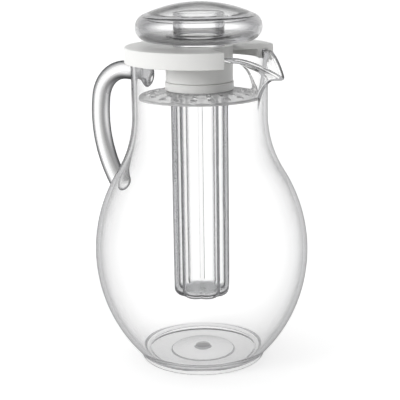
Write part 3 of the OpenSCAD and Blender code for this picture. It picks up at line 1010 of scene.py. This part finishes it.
@dataclass
class Knob(SubAssembly):
    """Clear hollow knob: a bowl with a central stem, closed by a low dome."""

    side_r: float = 10.2
    side_x: float = 37.2
    side_step: float = 0.9
    low_z: float = 247.4
    wall: float = 3.0
    seam_z: float = 266.5
    seam_r: float = 42.18
    seam_in_r: float = 38.58
    stem_r: float = 19.1
    stem_wall: float = 3.0
    stem_low_z: float = 230.7
    stem_top_z: float = 270.4
    stem_foot: float = 0.6
    stem_edge: float = 0.4
    stem_bottom: float = 1.0
    root_under: tuple[Point, ...] = ((0.0, -0.8), (0.25, -0.25), (0.8, 0.0))
    root_over: tuple[Point, ...] = ((1.2, 0.0), (0.3, 0.3), (0.0, 1.2))
    top_z: float = 276.0
    inner_top_z: float = 273.0
    cap_gap: float = 0.03
    spigot_r: float = 38.38
    spigot_in_r: float = 36.58
    spigot_h: float = 2.0
    steps: int = 160
    sharp: float = 40.0

    def bowl(self) -> list[Point]:
        """Returns the half section of bowl and stem, from the underside to the stem's bore."""
        side = (self.side_x, self.low_z + self.side_r)
        seam = degrees(asin((self.seam_z - side[1]) / self.side_r))
        inner_r = self.side_r - self.wall
        inner = degrees(acos((self.seam_in_r - self.side_x) / inner_r))
        stem_in = self.stem_r - self.stem_wall
        bottom = self.stem_low_z + self.wall
        return [(0.0, self.stem_low_z), (self.stem_r - self.stem_foot, self.stem_low_z),
                (self.stem_r, self.stem_low_z + self.stem_foot),
                *shifted(self.root_under, self.stem_r, self.low_z),
                *arc(side, self.side_r, -90, seam, self.side_step),
                (self.seam_in_r, self.seam_z),
                *arc(side, inner_r, inner, -90, self.side_step),
                *shifted(self.root_over, self.stem_r, self.low_z + self.wall),
                (self.stem_r, self.stem_top_z - self.stem_edge),
                (self.stem_r - self.stem_edge, self.stem_top_z),
                (stem_in + self.stem_edge, self.stem_top_z),
                (stem_in, self.stem_top_z - self.stem_edge),
                (stem_in, bottom + self.stem_bottom), (stem_in - self.stem_bottom, bottom),
                (0.0, bottom)]

    def cap(self) -> list[Point]:
        """Returns the half section of the dome, with the spigot that centres it in the bowl."""
        low = self.seam_z + self.cap_gap
        outer = dome(self.seam_r, low, self.top_z - low)
        inner = dome(self.spigot_in_r, low, self.inner_top_z - low)
        return [(0.0, self.inner_top_z), *inner[::-1][1:],
                (self.spigot_in_r, low - self.spigot_h), (self.spigot_r, low - self.spigot_h),
                (self.spigot_r, low), *outer]

    def build(self, finishes: Finishes) -> list[Object]:
        """Models and dresses both halves, as the base class says."""
        zones = [(FULL_TURN, self.steps)]
        parts = (("knob_bowl", self.bowl(), "knob_base", finishes.bowl),
                 ("knob_dome", self.cap(), "knob_cap", finishes.hollow))
        return [publish(name, turn_profile(line, zones), self.sharp, Body.LID,
                        node, finish) for name, line, node, finish in parts]


# Ice core


@dataclass
class IceTube(SubAssembly):
    """Clear fluted tube with a closed end, a shoulder and a neck with a three-start thread."""

    lobes: int = 8
    lobe_turn: float = 7.5
    lobe_circle: float = 12.3
    lobe_r: float = 10.0
    lobe_fade: Point = (8.0, 16.0)
    flat_r: float = 8.5
    wall: float = 2.2
    low_z: float = 50.4
    gate: tuple[Point, ...] = ((0.0, 0.5), (2.3, 0.5), (2.5, 0.0), (8.0, 0.0))
    floor_z: float = 54.4
    floor_in_r: float = 8.0
    edge: float = 6.0
    edge_step: float = 0.9
    side_step: float = 6.0
    shoulder_z: float = 206.6
    shoulder_r: float = 25.0
    shoulder_t: float = 2.4
    shoulder_edge: float = 0.4
    shoulder_in: float = 1.0
    neck_r: float = 21.9
    bore_r: float = 18.2
    bore_step: float = 3.0
    mouth_z: float = 225.5
    thread_h: float = 0.3
    thread_starts: int = 3
    thread_from: float = 8.7
    thread_end: float = 0.5
    thread_step: float = 0.45
    thread_flank: Point = (0.35, 0.75)
    lead: float = 12.0
    near: float = 0.01
    per_lobe: int = 24
    sharp: float = 30.0
    seal_t: float = 2.0
    seal_gap: float = 0.02
    seal_inset: float = 0.4
    seal_edge: float = 0.5
    seal_step: float = 0.3
    seal_steps: int = 96
    seal_sharp: float = 50.0

    def lobed(self, angle: float, lobe_r: float) -> float:
        """Radius of the flutes at an angle in radians, for a lobe's radius."""
        pitch = radians(FULL_TURN / self.lobes)
        off = (angle - radians(self.lobe_turn) + pitch / 2) % pitch - pitch / 2
        side = self.lobe_circle * sin(off)
        return self.lobe_circle * cos(off) + sqrt(lobe_r ** 2 - side ** 2)

    def profile(self) -> list[Point]:
        """Returns the half section at the tips of the flutes, from the underside to inside."""
        tip = self.lobe_circle + self.lobe_r
        inner_tip = tip - self.wall
        inner_edge = self.edge - self.wall
        low, top = self.shoulder_z, self.shoulder_z + self.shoulder_t
        small, out = self.shoulder_edge, self.shoulder_r
        outer = shifted(self.gate, 0.0, self.low_z)
        outer += arc((tip - self.edge, self.low_z + self.edge), self.edge, -90, 0, self.edge_step)
        outer += spread([(tip, self.low_z + self.edge), (tip, low - self.near)],
                        self.side_step)[1:]
        outer += [(out - small, low), (out, low + small), (out, top - small), (out - small, top)]
        outer += spread([(self.neck_r, top), (self.neck_r, self.mouth_z)], self.thread_step)
        inner = spread([(self.bore_r, self.mouth_z), (self.bore_r, low)], self.bore_step)
        inner += spread([(inner_tip, low - self.shoulder_in),
                         (inner_tip, self.floor_z + inner_edge)], self.side_step)
        inner += arc((inner_tip - inner_edge, self.floor_z + inner_edge), inner_edge, 0, -90,
                     self.edge_step)[1:]
        return outer + inner + [(self.floor_in_r, self.floor_z), (0.0, self.floor_z)]

    def growth(self, radius: float, angle: float, z: float) -> float:
        """How far a point moves out from the axis, for the flutes and the thread.

        Args:
            radius: Its radius in mm.
            angle: Its angle in radians.
            z: Its height in mm.

        Returns:
            The growth of its radius in mm.
        """
        tip = self.lobe_circle + self.lobe_r
        inner_tip = tip - self.wall
        if z < self.shoulder_z - self.near / 2 and radius > self.flat_r:
            if z > self.floor_z - self.near and radius < inner_tip + self.near:
                drawn = self.lobed(angle, self.lobe_r - self.wall) - inner_tip
            else:
                drawn = self.lobed(angle, self.lobe_r) - tip
            return drawn * smoothstep(radius, *self.lobe_fade)
        thread_z = self.shoulder_z + self.shoulder_t + self.thread_from
        if thread_z < z < self.mouth_z - self.thread_end and radius > self.bore_r + self.wall / 2:
            phase = self.thread_starts * (angle / tau - z / self.lead) % 1.0
            return self.thread_h * smoothstep(1 - abs(2 * phase - 1), *self.thread_flank)
        return 0.0

    def build(self, finishes: Finishes) -> list[Object]:
        """Models and dresses the tube and the soft ring on its mouth, as the base class says."""
        bm = turn_profile(self.profile(), [(FULL_TURN, self.lobes * self.per_lobe)])
        for vert in bm.verts:
            x, y, z = vert.co / MM
            growth = self.growth(hypot(x, y), atan2(y, x), z)
            if growth:
                size = 1 + growth / hypot(x, y)
                vert.co.x, vert.co.y = x * size * MM, y * size * MM
        bmesh.ops.recalc_face_normals(bm, faces=bm.faces)
        tube = publish("ice_tube_fluted", bm, self.sharp, Body.CORE, "ice_tube",
                       finishes.ribbed)
        edge = self.seal_edge
        low, high = self.mouth_z + self.seal_gap + edge, self.mouth_z + self.seal_t - edge
        inner_r = self.bore_r + self.seal_inset + edge
        outer_r = self.neck_r - self.seal_inset - edge
        ring: list[Point] = []
        for centre, turn in (((outer_r, low), -90), ((outer_r, high), 0), ((inner_r, high), 90),
                             ((inner_r, low), 180)):
            ring += arc(centre, edge, turn, turn + 90, self.seal_step)
        bm = turn_profile(ring, [(FULL_TURN, self.seal_steps)], True)
        seal = publish("mouth_seal", bm, self.seal_sharp, Body.CORE, "tube_seal",
                       finishes.seal)
        return [tube, seal]


@dataclass
class Collar(SubAssembly):
    """White ring fixed on the tube's neck, under the plug."""

    inner_r: float = 21.9
    outer_r: float = 25.8
    low_z: float = 211.4
    high_z: float = 217.6
    edge: float = 0.8
    edge_step: float = 0.3
    steps: int = 120
    sharp: float = 50.0

    def build(self, finishes: Finishes) -> list[Object]:
        """Models and dresses the collar, as the base class says."""
        ring: list[Point] = [(self.inner_r, self.high_z), (self.inner_r, self.low_z)]
        for z, turn in ((self.low_z + self.edge, -90), (self.high_z - self.edge, 0)):
            ring += arc((self.outer_r - self.edge, z), self.edge, turn, turn + 90, self.edge_step)
        bm = turn_profile(ring, [(FULL_TURN, self.steps)], True)
        return [publish("white_collar", bm, self.sharp, Body.CORE, "tube_collar",
                        finishes.white)]


@dataclass
class Strainer(SubAssembly):
    """Clear disc with two rows of holes and a low lip round its rim.

    Each row is the radius of its circle and of its holes.
    """

    bore_r: float = 22.3
    hub_r: float = 28.0
    rim_r: float = 45.8
    top_z: float = 211.2
    thick: float = 2.0
    drop: float = 3.6
    lip_h: float = 2.3
    rim_edge: tuple[Point, ...] = ((0.0, -1.0), (-0.3, -0.3), (-1.0, 0.0))
    rows: tuple[Point, ...] = ((32.0, 1.8), (39.0, 2.5))
    count: int = 20
    hole_sides: int = 28
    pin_h: float = 14.4
    steps: int = 120
    sharp: float = 25.0

    def profile(self) -> list[Point]:
        """Returns the closed half section, from the bore's lower edge round to its upper one."""
        low, rim = self.top_z - self.thick, self.top_z - self.drop
        lip_in = self.rim_r - self.thick
        return [(self.bore_r, low), (self.hub_r, low), (lip_in, rim - self.thick),
                (lip_in, rim - self.lip_h), (self.rim_r, rim - self.lip_h),
                *shifted(self.rim_edge, self.rim_r, rim), (lip_in, rim),
                (self.hub_r, self.top_z), (self.bore_r, self.top_z)]

    def holes(self) -> BMesh:
        """Returns a bmesh with the pins that cut the holes."""
        bm = bmesh.new()
        middle = (self.top_z - self.drop) * MM
        for row_r, hole_r in self.rows:
            for i in range(self.count):
                a = radians((i + 0.5) * FULL_TURN / self.count)
                place = Matrix.Translation((row_r * cos(a) * MM, row_r * sin(a) * MM, middle))
                bmesh.ops.create_cone(bm, cap_ends=True, segments=self.hole_sides,
                                      radius1=hole_r * MM, radius2=hole_r * MM,
                                      depth=self.pin_h * MM, matrix=place)
        return bm

    def build(self, finishes: Finishes) -> list[Object]:
        """Models and dresses the strainer, as the base class says."""
        ring = turn_profile(self.profile(), [(FULL_TURN, self.steps)], True)
        disc = make_object("strainer_disc", ring)
        pins = make_object("strainer_pins", self.holes())
        cut = disc.modifiers.new("holes", "BOOLEAN")
        cut.operation = "DIFFERENCE"
        cut.object = pins
        cut.solver = "EXACT"
        bm = bmesh.new()
        bm.from_object(disc, bpy.context.evaluated_depsgraph_get())
        for old in (disc, pins):
            bpy.data.objects.remove(old)
        return [publish("clear_strainer", bm, self.sharp, Body.STRAINER, "strainer",
                        finishes.hazy)]


# Studio


@dataclass(frozen=True)
class Lamp:
    """Soft light from far away.

    Its side is counted in degrees from the camera's azimuth, and its tilt from the floor.
    """

    name: str
    strength: float
    width: float
    side: float
    tilt: float

    def build(self, azimuth: float) -> None:
        """Hangs the lamp, unseen by rays that the pieces mirror or let through.

        Args:
            azimuth: Azimuth of the camera, in degrees.
        """
        sun = bpy.data.lights.new(self.name, "SUN")
        sun.energy = self.strength
        sun.angle = radians(self.width)
        lamp = bpy.data.objects.new(self.name, sun)
        turn, tilt = radians(azimuth + self.side), radians(self.tilt)
        towards = Vector((sin(turn) * cos(tilt), -cos(turn) * cos(tilt), sin(tilt)))
        lamp.matrix_world = towards.to_track_quat("Z", "Y").to_matrix().to_4x4()
        lamp.visible_glossy = False
        lamp.visible_transmission = False
        bpy.context.scene.collection.objects.link(lamp)


@dataclass
class Studio:
    """White paper, soft light from the upper left and the camera of the photograph."""

    distance: float = 803.0
    height: float = 330.3
    azimuth: float = 33.0
    pitch: float = 14.33
    roll: float = -0.79
    yaw: float = -0.058
    focal_px: float = 1076.9
    frame_px: float = 400.0
    sensor: float = 36.0
    sight: float = 50.0
    paper_r: float = 9.0
    paper_sides: int = 96
    diffuse_light: float = 0.36
    room_tone: float = 0.3
    backdrop_tone: float = 0.95
    backdrop_from: float = -0.2
    backdrop_full: float = 0.7
    lamps: tuple[Lamp, ...] = (Lamp("key_softbox", 2.0, 26.0, -60.0, 13.0),
                               Lamp("top_softbox", 0.3, 60.0, -120.0, 65.0))

    def camera(self) -> None:
        """Puts the camera at the photograph's place, with its small roll."""
        p, y, r = (radians(v) for v in (self.pitch, self.yaw, self.roll))
        ahead = Vector((sin(y) * cos(p), cos(y) * cos(p), -sin(p)))
        right = Vector((cos(y), -sin(y), 0))
        up = right.cross(ahead)
        side = right * cos(r) + up * sin(r)
        top = up * cos(r) - right * sin(r)
        basis = Matrix((side, top, -ahead)).transposed().to_4x4()
        turn = Matrix.Rotation(radians(self.azimuth), 4, "Z")
        data = bpy.data.cameras.new("studio_camera")
        data.sensor_width = self.sensor
        data.lens = self.sensor * self.focal_px / self.frame_px
        data.clip_end = self.sight
        camera = bpy.data.objects.new("studio_camera", data)
        camera.matrix_world = turn @ Matrix.Translation(
            Vector((0, -self.distance, self.height)) * MM) @ basis
        bpy.context.scene.collection.objects.link(camera)
        bpy.context.scene.camera = camera

    def world(self) -> None:
        """Makes a world that is white where it is seen, and dimmed where it lights the pieces.

        The plastic mirrors a white backdrop behind it and a darker room in front.
        """
        world = bpy.data.worlds.new("white_studio")
        bpy.context.scene.world = world
        world.use_nodes = True
        tree = world.node_tree
        tree.nodes.clear()
        rays = add_node(tree, "LightPath").outputs
        turn = radians(self.azimuth)
        place = add_node(tree, "TexCoord").outputs["Generated"]
        behind = add_node(tree, "VectorMath", operation="DOT_PRODUCT", n0=place,
                          n1=(-sin(turn), cos(turn), 0.0)).outputs["Value"]
        tone = add_node(tree, "MapRange", Value=behind, From_Min=self.backdrop_from,
                        From_Max=self.backdrop_full, To_Min=self.room_tone,
                        To_Max=self.backdrop_tone).outputs[0]
        mirrored = add_node(tree, "MapRange", Value=rays["Glossy Depth"], To_Min=1.0,
                            To_Max=tone).outputs[0]
        level = add_node(tree, "MapRange", Value=rays["Diffuse Depth"], To_Min=mirrored,
                         To_Max=self.diffuse_light).outputs[0]
        back = add_node(tree, "Background", Strength=level, Color=WHITE)
        add_node(tree, "OutputWorld", Surface=back.outputs[0])

    def paper(self) -> None:
        """Lays the floor."""
        bm = bmesh.new()
        bmesh.ops.create_circle(bm, cap_ends=True, segments=self.paper_sides, radius=self.paper_r)
        floor = make_object("studio_floor", bm)
        floor.data.materials.append(StudioPaper().build())

    def build(self) -> None:
        """Sets up the whole studio."""
        bpy.context.scene.view_settings.view_transform = "Standard"
        self.camera()
        self.world()
        for lamp in self.lamps:
            lamp.build(self.azimuth)
        self.paper()


def main() -> None:
    logging.basicConfig(level=logging.INFO, format="%(name)s: %(message)s")
    Studio().build()
    finishes = Finishes()
    for part in (Jug(), Handle(), LidCover(), Knob(), IceTube(), Collar(), Strainer()):
        for piece in part.build(finishes):
            LOG.info("%s: %d faces", piece.name, len(piece.data.polygons))


if __name__ == "__main__":
    main()
